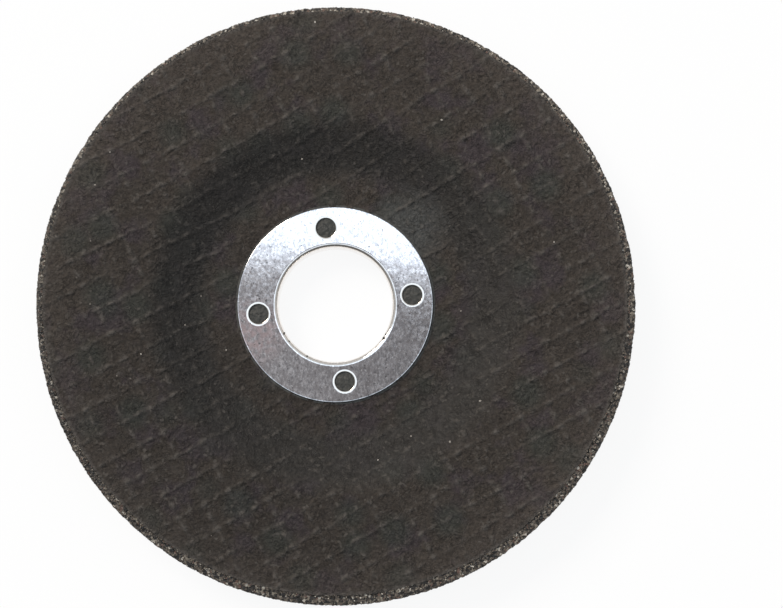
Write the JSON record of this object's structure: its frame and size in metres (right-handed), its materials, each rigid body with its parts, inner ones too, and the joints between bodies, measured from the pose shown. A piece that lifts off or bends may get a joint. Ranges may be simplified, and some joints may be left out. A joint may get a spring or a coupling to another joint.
{
  "type": "grinding disc",
  "caption": "Depressed-centre grinding disc: moulded abrasive wheel with woven glass nets, a recessed hub and a pressed steel ring lining its bore.",
  "frame": {"origin": "on the disc's axis, in the plane of the hub's back face, on which it lies", "axes": "+Z along the axis, out of the recessed grinding face; +X and +Y lie in the disc's plane, to the right and to the top of the picture"},
  "size_m": [0.115, 0.115, 0.0106],
  "materials": {
    "abrasive": "matte",
    "ring_steel": "satin"
  },
  "bodies": {
    "root": {"moulded_wheel": "abrasive", "hub_ring": "ring_steel"}
  },
  "joints": []
}
